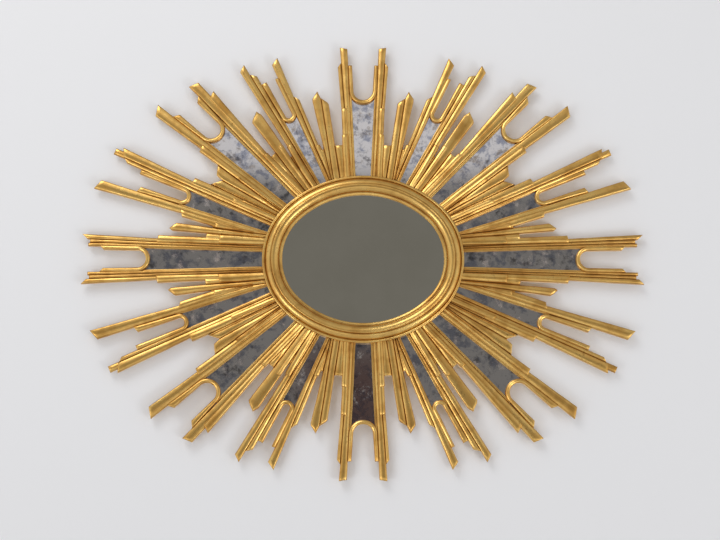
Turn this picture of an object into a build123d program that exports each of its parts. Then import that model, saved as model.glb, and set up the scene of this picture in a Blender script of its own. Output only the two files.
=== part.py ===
from build123d import *
import os
from collections import namedtuple
from math import atan2, degrees, hypot, sqrt

# Carved giltwood sunburst mirror, in millimetres.
# It is drawn lying on its back: x to the right, y up the wall and z out of the wall, with z = 0 at the
# wall. The last step stands every piece up, so that the front faces -Y and the wall face lies at y = 0.

# Oval moulding, seen from the front: a four-arc oval whose offsets all share its centres
oval_half_width = 186.3
oval_half_height = 156.4
oval_end_radius = 137.0
moulding_width = 37.0

# Depths, counted from the wall
board_thick = 8.0
heel_thick = 5.0
wood_thick = 8.0
reed_rise = 4.0
layer_step = 2.2

# Back board
board_half_width = 262.0
board_half_height = 196.0
board_end_radius = 140.0

# Heels of the rays, which pass under the moulding
heel_reach = 26.3
scribe_gap = 0.3

# Centre glass and its packing board
glass_thick = 4.0
glass_rebate = 7.5
glass_gap = 0.5
packing_thick = 10.0

# Panes of the forks and the slats behind them
pane_thick = 3.0
pane_overlap = 2.5
pane_gap = 0.3
putty_gap = 0.2
pane_tuck = 14.0

# U-shaped bead of a fork
bead_width = 8.0
bead_proud = 1.2

# Carving of the reeds
strip_width = 4.0
strip_rise = 1.5
roll_width = 3.0
roll_share = 0.4
reed_start = -14.0
border_span = 200.0

# Wood screws
clamp_shank_radius = 2.0
clamp_head_radius = 4.0
clamp_length = 25.0
clamp_tuck = 23.0
blind_end = 1.0
screw_gap = 0.05

# Strap hangers on the backs of the two upper middle rays
strap_thick = 1.0
strap_width = 10.0
strap_length = 22.0
hanger_distance = 112.0
hanger_offset = 1.7
ring_wire_radius = 1.2
ring_half_width = 7.3
ring_reach = 11.0
ring_bar_corner = 2.0
ring_far_corner = 5.5
ring_gap = 0.06
ring_rest_angle = 7.0
strap_screw_places = (-6.6, -16.6)
strap_screw_radius = 1.2
strap_head_radius = 2.6
strap_head_crown = 1.6
strap_head_height = 1.5
strap_screw_depth = 6.0

# Heights that follow
rear_plane = board_thick
heel_top = board_thick + heel_thick
groove_height = board_thick + wood_thick
glass_top = board_thick + packing_thick + glass_thick

# A reed runs between two borders. A border is its offset from the reed's frame line at the ring and
# one border_span further out. The ends are how far each border runs, which slants the tip, and the
# layer says how many steps the reed stands above the lowest one.
Reed = namedtuple("Reed", "inner outer ends layer")

# The arm of a U bead: the offsets of its two borders at the tip, and how far each of them runs.
Arm = namedtuple("Arm", "inner outer ends")

# One side of a fork.
Tine = namedtuple("Tine", "arm reeds")

# A fork: the middles of its pane's inner and outer ends, the pane's width at both, the distance from the
# inner end to the bottom of the gap between the tines, half that gap's width, and its two tines.
Fork = namedtuple("Fork", "inner outer inner_width outer_width gap_start gap_radius upper lower")

# A short ray: its foot at the ring, a point on its axis, its two borders, and its carved bars, each an
# outline of (distance, offset) points with the layer it stands on.
Ray = namedtuple("Ray", "foot toward left right bars")

upright_tine = Tine(
    Arm(-3.0, 4.4, (211, 211)),
    [
        Reed((3.8, 3.8), (10.9, 16.7), (244, 247), 0),
        Reed((10.9, 16.7), (16.0, 23.2), (217, 209), 0),
        Reed((9.8, 9.8), (20.7, 20.7), (129, 127), 1),
        Reed((11.5, 11.5), (21.8, 21.8), (78, 76), 2),
        Reed((20.0, 20.0), (60.0, 60.0), (57, 57), 1),
    ],
)
level_tine = Tine(
    Arm(-5.6, 1.8, (291, 298)),
    [
        Reed((3.0, 1.6), (6.8, 7.0), (320, 320), 0),
        Reed((6.8, 7.0), (10.2, 12.4), (317, 317), 0),
        Reed((10.2, 12.4), (14.0, 19.4), (322, 332), 0),
        Reed((11.5, 11.5), (21.5, 25.2), (194, 191), 1),
        Reed((20.0, 20.0), (50.0, 50.0), (104, 102), 1),
        Reed((12.0, 12.0), (28.0, 28.0), (79, 77), 2),
    ],
)
steep_upper_tine = Tine(
    Arm(-7.8, -0.4, (211, 211)),
    [
        Reed((2.0, -1.3), (6.5, 11.8), (239, 248), 0),
        Reed((6.5, 11.8), (13.0, 19.7), (166, 156), 0),
        Reed((8.0, 8.0), (17.5, 17.5), (63, 61), 1),
        Reed((12.0, 12.0), (45.0, 45.0), (50, 50), 1),
    ],
)
steep_lower_tine = Tine(
    Arm(-6.8, 3.6, (213, 213)),
    [
        Reed((2.9, 2.9), (6.0, 12.0), (232, 241), 0),
        Reed((6.0, 12.0), (15.2, 24.5), (264, 255), 0),
        Reed((9.3, 9.3), (20.4, 20.4), (86, 84), 1),
        Reed((20.0, 20.0), (50.0, 50.0), (64, 64), 1),
    ],
)
wide_upper_tine = Tine(
    Arm(-6.1, 5.2, (254, 263)),
    [
        Reed((4.3, 4.4), (15.0, 20.3), (288, 281), 0),
        Reed((9.4, 14.3), (14.8, 28.1), (243, 249), 1),
        Reed((11.6, 11.6), (22.0, 22.0), (94, 92), 2),
        Reed((20.0, 20.0), (60.0, 60.0), (82, 82), 1),
    ],
)
wide_lower_tine = Tine(
    Arm(-7.5, 4.0, (262, 270)),
    [
        Reed((1.8, 2.6), (11.5, 19.0), (307, 297), 0),
        Reed((9.5, 11.0), (18.0, 25.0), (192, 188), 1),
        Reed((16.0, 16.0), (23.5, 23.5), (99, 97), 2),
        Reed((18.0, 18.0), (50.0, 50.0), (60, 60), 1),
    ],
)
narrow_upper_tine = Tine(
    Arm(-9.5, -0.2, (255, 255)),
    [
        Reed((-1.0, -0.8), (5.5, 6.2), (286, 294), 0),
        Reed((5.5, 6.2), (12.0, 19.6), (296, 304), 0),
        Reed((5.5, 5.5), (9.0, 14.5), (316, 316), -1),
        Reed((11.3, 11.3), (25.3, 25.3), (159, 157), 1),
        Reed((10.0, 10.0), (20.0, 20.0), (76, 74), 2),
        Reed((19.0, 19.0), (27.0, 27.0), (58, 58), 2),
    ],
)
narrow_lower_tine = Tine(
    Arm(-8.2, 2.6, (243, 248)),
    [
        Reed((1.5, 1.8), (10.7, 17.0), (317, 326), 0),
        Reed((9.2, 9.2), (21.7, 21.7), (160, 153), 1),
        Reed((12.5, 12.5), (25.0, 25.0), (90, 88), 2),
        Reed((20.0, 20.0), (45.0, 45.0), (94, 92), 1),
    ],
)

upright_fork = Fork((0, 160), (0, 303), 28.4, 42.0, 143.5, 18.0, upright_tine, upright_tine)
level_fork = Fork((188.4, 0), (399.1, 0), 27.8, 40.4, 213.0, 16.0, level_tine, level_tine)
steep_fork = Fork(
    (77.65, 151.5), (133.4, 261.65), 12.7, 23.7, 131.0, 6.6, steep_upper_tine, steep_lower_tine
)
wide_fork = Fork(
    (136.65, 112.25), (273.55, 236.15), 19.1, 42.7, 182.0, 17.5, wide_upper_tine, wide_lower_tine
)
narrow_fork = Fork(
    (181.55, 59.8), (320.85, 112.85), 13.9, 29.4, 157.0, 8.6, narrow_upper_tine, narrow_lower_tine
)

upright_ray = Ray(
    (55.5, 152),
    (77.5, 290.6),
    (-12.7, -13.9),
    (4.6, 19.3),
    [
        ([(0, "left"), (145.7, "left"), (155.7, -1.9), (156, -1.0), (0, 0)], 0),
        ([(0, 0), (156, -1.0), (171, 4), (157, "right"), (0, "right")], 0),
    ],
)
middle_ray = Ray(
    (106, 138),
    (195.8, 266.0),
    (-6.8, -10.3),
    (8.3, 15.0),
    [
        ([(0, "left"), (160, "left"), (171, -4.5), (160, "right"), (0, "right")], 0),
        ([(0, "left"), (91, "left"), (91, 1.5), (0, 1.5)], 1),
    ],
)
web_ray = Ray(
    (163, 90),
    (282.3, 158.2),
    (-6.2, -29.1),
    (7.2, 19.6),
    [
        ([(0, "left"), (137, "left"), (129, -4.5), (0, -1.0)], 1),
        ([(0, -1.0), (129, -4.5), (115, -1.2), (130, "right"), (0, "right")], 0),
        ([(0, 3.4), (124, 11.5), (129, "right"), (0, "right")], 1),
    ],
)
level_ray = Ray(
    (183, 44),
    (360.4, 60.3),
    (-2.0, -10.5),
    (5.3, 6.1),
    [
        ([(0, "left"), (165, "left"), (176.5, 2), (172, "right"), (0, "right")], 0),
    ],
)


class Frame:
    """A line in the plan, with distances along it and offsets to one side of it."""

    def __init__(self, start, end, side):
        length = hypot(end[0] - start[0], end[1] - start[1])
        self.start = start
        self.along = ((end[0] - start[0]) / length, (end[1] - start[1]) / length)
        self.across = (-side * self.along[1], side * self.along[0])

    def at(self, distance, offset):
        return tuple(
            self.start[i] + distance * self.along[i] + offset * self.across[i] for i in (0, 1)
        )


def border_at(border, distance):
    """Offset of a border at a distance from the ring."""
    return border[0] + (border[1] - border[0]) * distance / border_span


def plan(points):
    return make_face(Polyline(*points, close=True))


def slab(face, low, high):
    return Pos(0, 0, low) * extrude(face, high - low)


def oval_arcs(half_width, half_height, end_radius):
    """Centres, radii and half angles of the end arcs and the flat arcs of a four-arc oval."""
    end_centre = half_width - end_radius
    flat_radius = (end_centre**2 + half_height**2 - end_radius**2) / (2 * (half_height - end_radius))
    flat_centre = flat_radius - half_height
    turn = degrees(atan2(flat_centre, end_centre))
    return end_centre, flat_centre, flat_radius, turn


def oval(half_width, half_height, end_radius):
    end_centre, flat_centre, flat_radius, turn = oval_arcs(half_width, half_height, end_radius)
    arcs = [
        CenterArc((end_centre, 0), end_radius, -turn, 2 * turn),
        CenterArc((0, -flat_centre), flat_radius, turn, 180 - 2 * turn),
        CenterArc((-end_centre, 0), end_radius, 180 - turn, 2 * turn),
        CenterArc((0, flat_centre), flat_radius, 180 + turn, 180 - 2 * turn),
    ]
    return make_face(Wire(arcs))


def ring_oval(inset):
    """The oval that lies inset inside the moulding's outer edge."""
    return oval(oval_half_width - inset, oval_half_height - inset, oval_end_radius - inset)


def crowned(face, edge, crown, roll):
    """A bar on a plan outline, its crown rolled over on every side."""
    bar = slab(face, rear_plane, edge)
    top = bar.faces().sort_by(Axis.Z)[-1]
    return bar + extrude(top, crown - edge, taper=degrees(atan2(roll, crown - edge)))


def layer_heights(layer):
    edge = groove_height + layer * layer_step
    return edge, edge + reed_rise


def reed_bar(frame, reed):
    points = [
        frame.at(reed_start, border_at(reed.inner, reed_start)),
        frame.at(reed.ends[0], border_at(reed.inner, reed.ends[0])),
        frame.at(reed.ends[1], border_at(reed.outer, reed.ends[1])),
        frame.at(reed_start, border_at(reed.outer, reed_start)),
    ]
    widths = [border_at(reed.outer, u) - border_at(reed.inner, u) for u in (reed_start, reed.ends[0])]
    roll = min(roll_width, roll_share * min(widths))
    return crowned(plan(points), *layer_heights(reed.layer), roll)


def pane_half_width(fork, distance):
    length = hypot(fork.outer[0] - fork.inner[0], fork.outer[1] - fork.inner[1])
    return (fork.inner_width + (fork.outer_width - fork.inner_width) * distance / length) / 2


def tine_frame(fork, side):
    """The frame along one edge of a fork's pane, its offsets pointing away from the pane."""
    axis = Frame(fork.inner, fork.outer, side)
    length = hypot(fork.outer[0] - fork.inner[0], fork.outer[1] - fork.inner[1])
    return Frame(
        axis.at(0, pane_half_width(fork, 0)), axis.at(length, pane_half_width(fork, length)), side
    )


def gap_centre(fork):
    """Centre of the round bottom of the gap between the tines."""
    return Frame(fork.inner, fork.outer, 1).at(fork.gap_start + fork.gap_radius, 0)


def bead_heights():
    edge, crown = layer_heights(0)
    return edge + bead_proud, crown + bead_proud


def bead_arc(fork):
    """The round of the U bead, from one tine to the other on the pane's side."""
    edge, crown = bead_heights()
    inside = fork.gap_radius
    outside = fork.gap_radius + bead_width
    section = Plane.XZ * make_face(
        Polyline(
            (inside, rear_plane),
            (outside, rear_plane),
            (outside, edge),
            (outside - roll_width, crown),
            (inside + roll_width, crown),
            (inside, edge),
            close=True,
        )
    )
    axis = Frame(fork.inner, fork.outer, 1)
    heading = degrees(atan2(axis.along[1], axis.along[0]))
    centre = gap_centre(fork)
    return Pos(centre[0], centre[1]) * Rot(Z=heading + 90) * revolve(section, Axis.Z, 180)


def bead_arm(fork, frame, arm):
    """The straight arm of the U bead, which lies along the tine's side of the gap."""
    start = fork.gap_start + fork.gap_radius
    gap_edge = fork.gap_radius - pane_half_width(fork, start)
    points = [
        frame.at(start - 1, gap_edge),
        frame.at(arm.ends[0], arm.inner),
        frame.at(arm.ends[1], arm.outer),
        frame.at(start - 1, gap_edge + bead_width),
    ]
    roll = min(roll_width, roll_share * (arm.outer - arm.inner))
    return crowned(plan(points), *bead_heights(), roll)


def pane_outline(fork, grow):
    """A pane's outline: straight edges under the tines, and an end that follows the U bead."""
    bead_radius = fork.gap_radius + bead_width
    corner = sqrt(bead_radius**2 - pane_half_width(fork, fork.gap_start) ** 2)
    end = fork.gap_start + fork.gap_radius - corner + pane_overlap + grow
    corners = []
    for side in (1, -1):
        frame = tine_frame(fork, side)
        edge = [frame.at(-pane_tuck - grow, pane_overlap + grow), frame.at(end, pane_overlap + grow)]
        corners += edge if side > 0 else edge[::-1]
    centre = gap_centre(fork)
    return plan(corners) - Pos(*centre) * Circle(bead_radius - pane_overlap - grow)


def ray_frame(ray):
    return Frame(ray.foot, ray.toward, -1)


def ray_border(ray, border):
    """Two far points on a short ray's border line, from inside the moulding outwards."""
    frame = ray_frame(ray)
    return [frame.at(u, border_at(border, u)) for u in (-2 * heel_reach, 3 * border_span)]


def mirrored(points, keep_x):
    return [(x if keep_x else -x, -y if keep_x else y) for x, y in points]


def territory(first, second):
    """The part of the plan between two border lines."""
    return plan([first[0], first[1], second[1], second[0]])


def screw_place(fork):
    return Frame(fork.inner, fork.outer, 1).at(-clamp_tuck, 0)


def heel(face):
    """The thin wood under the moulding, back to the inner oval that all the heels share."""
    return slab(face & ring_oval(0) - ring_oval(heel_reach), rear_plane, heel_top)


def moulding_space():
    """The room that the moulding takes, with the gap its outer wall is scribed to."""
    return slab(ring_oval(-scribe_gap), heel_top, 2 * groove_height)


def fork_solid(fork, first, second):
    """A fork: two reeded tines, the U bead that joins them, and the heel under the moulding."""
    land = territory(first, second)
    bars = [bead_arc(fork), heel(land)]
    for side, tine in ((1, fork.upper), (-1, fork.lower)):
        frame = tine_frame(fork, side)
        bead_start = fork.gap_start + fork.gap_radius
        strip = plan(
            [
                frame.at(reed_start, 0),
                frame.at(bead_start, 0),
                frame.at(bead_start, strip_width),
                frame.at(reed_start, strip_width),
            ]
        )
        bars.append(slab(strip, rear_plane, groove_height + strip_rise))
        bars.append(bead_arm(fork, frame, tine.arm))
        bars += [reed_bar(frame, reed) for reed in tine.reeds]
    wood = bars[0].fuse(*bars[1:]) & slab(land, rear_plane, 2 * groove_height)
    wood -= slab(pane_outline(fork, pane_gap), 0, heel_top)
    wood -= moulding_space()
    wood -= slab(ring_oval(heel_reach), 0, heel_top)
    if fork in clamped_forks():
        wood -= shank(screw_place(fork), clamp_shank_radius + screw_gap, 0, 2 * groove_height)
    return wood


def ray_solid(ray):
    """A short ray: carved bars on their outlines, with a heel under the moulding."""
    frame = ray_frame(ray)
    borders = {"left": ray.left, "right": ray.right}
    bars = [heel(territory(ray_border(ray, ray.left), ray_border(ray, ray.right)))]
    for outline, layer in ray.bars:
        points = []
        for distance, offset in outline:
            if distance == 0:
                distance = reed_start
            if offset in borders:
                offset = border_at(borders[offset], distance)
            points.append(frame.at(distance, offset))
        foot_width = hypot(points[0][0] - points[-1][0], points[0][1] - points[-1][1])
        roll = min(roll_width, roll_share * foot_width)
        bars.append(crowned(plan(points), *layer_heights(layer), roll))
    wood = bars[0].fuse(*bars[1:])
    wood -= moulding_space()
    wood -= slab(ring_oval(heel_reach), 0, heel_top)
    return wood


def shank(place, radius, low, high):
    return Pos(place[0], place[1], low) * extrude(Circle(radius), high - low)


def countersunk(place, shank_radius, head_radius, length):
    """A countersunk screw or its hole, with the head flush with the back of the board."""
    section = Polyline(
        (0, 0),
        (head_radius, 0),
        (shank_radius, head_radius - shank_radius),
        (shank_radius, length),
        (0, length),
        close=True,
    )
    return Pos(*place) * revolve(Plane.XZ * make_face(section), Axis.Z, 360)


def four(place):
    """A place in the first quarter and its mirror images, without doubles on the axes."""
    x, y = place
    return sorted({(sx * x + 0.0, sy * y + 0.0) for sx in (1, -1) for sy in (1, -1)})


def moulding_section():
    """The moulding's section, its outer edge at zero and its inner edge at minus the width."""
    low = heel_top
    outline = [
        Line((0, low), (0, low + 9.6)),
        ThreePointArc((0, low + 9.6), (-2.5, low + 13.4), (-5.0, low + 10.6)),
        Line((-5.0, low + 10.6), (-5.8, low + 11.6)),
        ThreePointArc((-5.8, low + 11.6), (-9.8, low + 16.6), (-15.4, low + 18.4)),
        Line((-15.4, low + 18.4), (-16.4, low + 17.6)),
        Line((-16.4, low + 17.6), (-17.0, low + 21.2)),
        ThreePointArc((-17.0, low + 21.2), (-18.7, low + 22.9), (-20.4, low + 21.4)),
        ThreePointArc((-20.4, low + 21.4), (-25.8, low + 20.0), (-30.2, low + 14.4)),
        Line((-30.2, low + 14.4), (-31.4, low + 11.8)),
        Line((-31.4, low + 11.8), (-32.8, low + 11.8)),
        Line((-32.8, low + 11.8), (-33.2, low + 13.0)),
        Line((-33.2, low + 13.0), (1.2 - moulding_width, low + 12.2)),
        Line((1.2 - moulding_width, low + 12.2), (-moulding_width, low + 10.8)),
        Line((-moulding_width, low + 10.8), (-moulding_width, glass_top)),
        Line((-moulding_width, glass_top), (glass_rebate - moulding_width, glass_top)),
        Line((glass_rebate - moulding_width, glass_top), (glass_rebate - moulding_width, low)),
        Line((glass_rebate - moulding_width, low), (0, low)),
    ]
    return Plane.XZ * make_face(Wire(outline))


def oval_moulding():
    """The section turned about the oval's four centres, and the blind holes of the clamp screws."""
    end_centre, flat_centre, flat_radius, turn = oval_arcs(
        oval_half_width, oval_half_height, oval_end_radius
    )
    sectors = []
    for centre, radius, start, sweep_angle in (
        ((end_centre, 0), oval_end_radius, -turn, 2 * turn),
        ((0, -flat_centre), flat_radius, turn, 180 - 2 * turn),
        ((-end_centre, 0), oval_end_radius, 180 - turn, 2 * turn),
        ((0, flat_centre), flat_radius, 180 + turn, 180 - 2 * turn),
    ):
        section = Pos(radius, 0, 0) * moulding_section()
        sectors.append(
            Pos(*centre) * Rot(Z=start) * revolve(section, Axis.Z, sweep_angle)
        )
    ring = sectors[0].fuse(*sectors[1:])
    for place in clamp_places():
        ring -= shank(place, clamp_shank_radius + screw_gap, 0, clamp_length + blind_end)
    return ring


def forks():
    return (upright_fork, level_fork, steep_fork, wide_fork, narrow_fork)


def clamped_forks():
    """The forks whose heels the clamp screws pass through; the others are only glued."""
    return (upright_fork, level_fork, wide_fork)


def rays():
    return (upright_ray, middle_ray, web_ray, level_ray)


def clamp_places():
    return [place for fork in clamped_forks() for place in four(screw_place(fork))]


def back_board():
    board = slab(oval(board_half_width, board_half_height, board_end_radius), 0, board_thick)
    for place in clamp_places():
        board -= countersunk(
            place, clamp_shank_radius + screw_gap, clamp_head_radius + screw_gap, board_thick
        )
    return board


def hinge_depth():
    """From the wood's back to the middle of the ring's bar."""
    return strap_thick + ring_gap + ring_wire_radius


def hanger_place():
    """The middle of the upper right hanger's hinge: x along the hinge, y outward, z forward."""
    frame = ray_frame(middle_ray)
    x, y = frame.at(hanger_distance, hanger_offset)
    heading = degrees(atan2(frame.along[1], frame.along[0])) - 90
    return Pos(x, y, rear_plane - hinge_depth()) * Rot(Z=heading)


def strap_screw(grow):
    """The hanger's two round-head screws in its own frame, or with grow the holes for their shanks."""
    under_head = hinge_depth() - 2 * strap_thick
    point = hinge_depth() + strap_screw_depth
    screws = []
    for place in strap_screw_places:
        stem = Pos(0, place, under_head) * extrude(Circle(strap_screw_radius + grow), point - under_head)
        if not grow:
            section = Polyline(
                (0, 0),
                (strap_head_radius, 0),
                (strap_head_crown, -strap_head_height),
                (0, -strap_head_height),
                close=True,
            )
            stem += Pos(0, place, under_head) * revolve(Plane.XZ * make_face(section), Axis.Z, 360)
        screws.append(stem)
    return screws


def hanger_strap():
    """A steel strap folded round the ring's bar, its two leaves screwed to the wood."""
    bore = ring_wire_radius + ring_gap
    leaf_middle = hinge_depth() - strap_thick
    profile = Circle(bore + strap_thick)
    profile += Pos(-strap_length / 2, leaf_middle) * Rectangle(strap_length, 2 * strap_thick)
    profile -= Circle(bore)
    strap = extrude(Plane.YZ * profile, strap_width / 2, both=True)
    for hole in strap_screw(screw_gap):
        strap -= hole
    return strap


def hanger_ring():
    """A ring bent from one wire, with a straight bar for the strap, at rest folded down over it."""
    corners = (
        (ring_half_width, 0, ring_bar_corner),
        (ring_half_width, ring_reach, ring_far_corner),
        (-ring_half_width, ring_reach, ring_far_corner),
        (-ring_half_width, 0, ring_bar_corner),
    )
    wire = []
    for number, (x, y, radius) in enumerate(corners):
        next_x, next_y, next_radius = corners[(number + 1) % len(corners)]
        length = hypot(next_x - x, next_y - y)
        heading = 90 * (number + 1)
        straight = Plane.YZ * Circle(ring_wire_radius)
        run = Pos(radius, 0, 0) * extrude(straight, length - radius - next_radius)
        wire.append(Pos(x, y) * Rot(Z=heading) * run)
        bend = revolve(Plane.XZ * Pos(radius, 0) * Circle(ring_wire_radius), Axis.Z, 90)
        wire.append(Pos(x, y) * Rot(Z=heading - 90) * Pos(-radius, radius) * Rot(Z=-90) * bend)
    return Rot(X=180 + ring_rest_angle) * wire[0].fuse(*wire[1:])


def centre_mirror():
    return slab(ring_oval(moulding_width - glass_rebate + glass_gap), glass_top - glass_thick, glass_top)


def centre_packing():
    return slab(ring_oval(moulding_width - glass_rebate + glass_gap), board_thick, glass_top - glass_thick)


def stand_up(shape):
    """From lying on its back to hanging on the wall, with its front to -Y."""
    return Rot(X=90) * shape


def quarters(name, shape):
    """A piece of the first quarter and its mirror images in the others, by name."""
    left = mirror(shape, Plane.YZ)
    return {
        f"{name}_upper_right": shape,
        f"{name}_upper_left": left,
        f"{name}_lower_right": mirror(shape, Plane.XZ),
        f"{name}_lower_left": mirror(left, Plane.XZ),
    }


def ends(name, shape, plane, first, second):
    """A piece that lies on an axis of the mirror, and its mirror image at the other end."""
    return {f"{name}_{first}": shape, f"{name}_{second}": mirror(shape, plane)}


def spread(name, fork, shape):
    """All the copies of a fork's piece, by name."""
    if fork is upright_fork:
        return ends(name, shape, Plane.XZ, "top", "bottom")
    if fork is level_fork:
        return ends(name, shape, Plane.YZ, "right", "left")
    kind = {id(steep_fork): "steep", id(wide_fork): "wide", id(narrow_fork): "narrow"}[id(fork)]
    return quarters(f"{name}_{kind}", shape)


def fork_borders():
    """Each fork with the two border lines that it shares with the short rays beside it."""
    lines = {id(ray): (ray_border(ray, ray.left), ray_border(ray, ray.right)) for ray in rays()}
    upright_left, upright_right = lines[id(upright_ray)]
    middle_left, middle_right = lines[id(middle_ray)]
    web_left, web_right = lines[id(web_ray)]
    level_left, level_right = lines[id(level_ray)]
    return (
        (upright_fork, mirrored(upright_left, False), upright_left),
        (steep_fork, upright_right, middle_left),
        (wide_fork, middle_right, web_left),
        (narrow_fork, web_right, level_left),
        (level_fork, level_right, mirrored(level_right, True)),
    )


def pieces():
    """Every piece, lying on its back, by node name."""
    nodes = {"oval_moulding": oval_moulding(), "centre_mirror": centre_mirror()}
    nodes["centre_packing"] = centre_packing()
    nodes["back_board"] = back_board()
    slats = []
    pane_back = heel_top - putty_gap - pane_thick
    for fork, first, second in fork_borders():
        pane = slab(pane_outline(fork, 0), pane_back, pane_back + pane_thick)
        slat = slab(pane_outline(fork, 0), rear_plane, pane_back)
        nodes.update(spread("fork", fork, fork_solid(fork, first, second)))
        nodes.update(spread("pane", fork, pane))
        slats += spread("slat", fork, slat).values()
    nodes["pane_slats"] = Compound(children=slats)

    ray_names = ("ray_upright", "ray_middle", "web_block", "ray_level")
    for name, ray in zip(ray_names, rays()):
        nodes.update(quarters(name, ray_solid(ray)))

    clamp_screws = [
        countersunk(place, clamp_shank_radius, clamp_head_radius, clamp_length)
        for place in clamp_places()
    ]
    nodes["clamp_screws"] = Compound(children=clamp_screws)

    place = hanger_place()
    for hole in strap_screw(screw_gap):
        for name, cut in (("right", place * hole), ("left", mirror(place * hole, Plane.YZ))):
            nodes[f"ray_middle_upper_{name}"] -= cut
    strap = place * hanger_strap()
    ring = place * hanger_ring()
    screws = [place * screw for screw in strap_screw(0)]
    nodes["hanger_straps"] = Compound(children=[strap, mirror(strap, Plane.YZ)])
    nodes["hanger_ring_right"] = ring
    nodes["hanger_ring_left"] = mirror(ring, Plane.YZ)
    nodes["strap_screws"] = Compound(children=screws + [mirror(screw, Plane.YZ) for screw in screws])
    return nodes


def main():
    os.makedirs("parts", exist_ok=True)
    for name, shape in pieces().items():
        export_step(stand_up(shape), f"parts/{name}.step")


if __name__ == "__main__":
    main()
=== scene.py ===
"""Carved giltwood sunburst mirror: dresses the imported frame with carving, gilding, foxed glass and fittings."""

import math
from collections import namedtuple

import bpy
import numpy as np
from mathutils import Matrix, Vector


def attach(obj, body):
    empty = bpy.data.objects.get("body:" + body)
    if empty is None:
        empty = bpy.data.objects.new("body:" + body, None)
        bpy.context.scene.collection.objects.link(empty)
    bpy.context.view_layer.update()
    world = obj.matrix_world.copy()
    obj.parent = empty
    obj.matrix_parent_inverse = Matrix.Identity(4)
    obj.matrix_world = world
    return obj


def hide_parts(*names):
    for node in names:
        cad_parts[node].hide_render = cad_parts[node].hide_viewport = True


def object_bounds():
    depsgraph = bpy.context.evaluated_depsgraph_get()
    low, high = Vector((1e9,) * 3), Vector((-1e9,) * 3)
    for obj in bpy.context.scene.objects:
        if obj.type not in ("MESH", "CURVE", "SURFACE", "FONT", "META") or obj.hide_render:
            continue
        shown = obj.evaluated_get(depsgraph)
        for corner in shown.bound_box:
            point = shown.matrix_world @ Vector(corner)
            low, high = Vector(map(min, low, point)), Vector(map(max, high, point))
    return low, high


bl_info = {
    "name": "Sunburst mirror",
    "version": (1, 0, 0),
    "blender": (4, 5, 0),
    "location": "View3D > Sidebar > Sunburst",
    "description": "Carved forks, foxed panes, an oval moulding and their fittings around a packed frame",
    "category": "Object",
}

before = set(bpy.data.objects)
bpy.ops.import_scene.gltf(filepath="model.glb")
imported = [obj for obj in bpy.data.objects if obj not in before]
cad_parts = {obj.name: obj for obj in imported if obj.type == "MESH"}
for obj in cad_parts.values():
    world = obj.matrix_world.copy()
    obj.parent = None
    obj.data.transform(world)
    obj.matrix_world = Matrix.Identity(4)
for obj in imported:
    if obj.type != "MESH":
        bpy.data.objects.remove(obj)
cad_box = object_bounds()

BODY = "mirror"
MM = 0.001

# How the carved wood is cut, in millimetres and degrees.
BENDS = (0, 22.5, 45, 67.5, 90)
WAVES = ((90, 1.0), (47, 0.7), (23, 0.35))  # lengths of the wandering and their shares
BACK_STEP = 0.04  # from the back of one bar to the next
TILT = 0.07
RING_TUCK = 1.2  # how far a bar starts inside the ring
HEEL_TUCK = 26.3
CARVED_EDGE = 38
SMOOTH_EDGE = 30

# The recesses of the screws, and the places of the strap screws from the hinge, in millimetres.
CLAMP_RECESS = (1.1, 1.4)
STRAP_RECESS = (0.6, 0.9)
STRAP_PLACES = (6.6, 16.6)

# The stage, in metres, and its lamps: name, place, size and power.
REACH = 5
WALL_AT, WALL_TOP, FLOOR_AT = 0.0006, 3, -2.3
LAMPS = (
    ("upper_lamp", (-1.4, -2.4, 2.4), 1.8, 34.0),
    ("right_lamp", (1.9, -2.0, -1.5), 0.9, 13.0),
    ("left_lamp", (-1.9, -2.0, -1.3), 0.9, 9.0),
)
GILDING = "Gilded lime wood, carved and rubbed"
STEEL = "Zinc-plated steel, pressed"

# Reeds, arms and rays, in millimetres, as in the part's source: distances run outwards from the ring and
# offsets lie to one side of a line. The borders of a reed are its offsets at the ring and one span further.
BORDER_SPAN = 200.0
Reed = namedtuple("Reed", "inner outer ends layer")
Arm = namedtuple("Arm", "inner outer ends")
Tine = namedtuple("Tine", "arm reeds")
Fork = namedtuple("Fork", "inner outer inner_width outer_width gap_start gap_radius upper lower")
Ray = namedtuple("Ray", "foot toward left right bars")
Bar = namedtuple("Bar", "left right layer")

UPRIGHT_TINE = Tine(
    Arm(-3.0, 4.4, (211, 211)),
    (
        Reed((3.8, 3.8), (10.9, 16.7), (244, 247), 0),
        Reed((10.9, 16.7), (16.0, 23.2), (217, 209), 0),
        Reed((9.8, 9.8), (20.7, 20.7), (129, 127), 1),
        Reed((11.5, 11.5), (21.8, 21.8), (78, 76), 2),
        Reed((20.0, 20.0), (60.0, 60.0), (57, 57), 1),
    ),
)
LEVEL_TINE = Tine(
    Arm(-5.6, 1.8, (291, 298)),
    (
        Reed((3.0, 1.6), (6.8, 7.0), (320, 320), 0),
        Reed((6.8, 7.0), (10.2, 12.4), (317, 317), 0),
        Reed((10.2, 12.4), (14.0, 19.4), (322, 332), 0),
        Reed((11.5, 11.5), (21.5, 25.2), (194, 191), 1),
        Reed((20.0, 20.0), (50.0, 50.0), (104, 102), 1),
        Reed((12.0, 12.0), (28.0, 28.0), (79, 77), 2),
    ),
)
STEEP_UPPER_TINE = Tine(
    Arm(-7.8, -0.4, (211, 211)),
    (
        Reed((2.0, -1.3), (6.5, 11.8), (239, 248), 0),
        Reed((6.5, 11.8), (13.0, 19.7), (166, 156), 0),
        Reed((8.0, 8.0), (17.5, 17.5), (63, 61), 1),
        Reed((12.0, 12.0), (45.0, 45.0), (50, 50), 1),
    ),
)
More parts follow.
